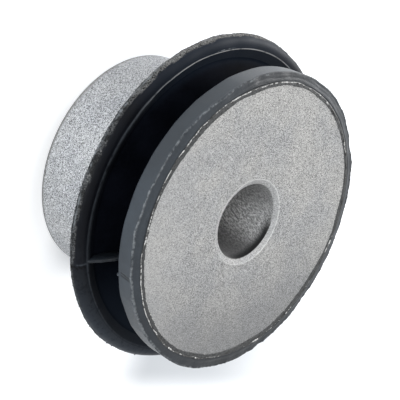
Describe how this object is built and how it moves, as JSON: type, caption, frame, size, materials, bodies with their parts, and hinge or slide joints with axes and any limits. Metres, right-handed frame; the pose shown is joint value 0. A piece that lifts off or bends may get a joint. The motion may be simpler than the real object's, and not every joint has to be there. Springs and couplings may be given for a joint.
{
  "type": "control arm bushing",
  "caption": "Flanged rubber bushing: steel outer sleeve, moulded rubber body, and an inner sleeve with a wide clamp plate and a through bore.",
  "frame": {"origin": "on the bolt axis, at the rear end of the inner sleeve, on which the bushing stands", "axes": "+Z along the bolt axis, from the rear end to the front of the clamp plate; the webs left by the mould lie at +X and -X"},
  "size_m": [0.0617, 0.0616, 0.035],
  "materials": {
    "inner_steel": "matt, grit blasted",
    "outer_steel": "matt, grit blasted",
    "rubber": "satin, moulded, with trimmed flash"
  },
  "bodies": {
    "root": {"inner_sleeve": "inner_steel", "outer_sleeve": "outer_steel", "rubber_body": "rubber"}
  },
  "joints": []
}
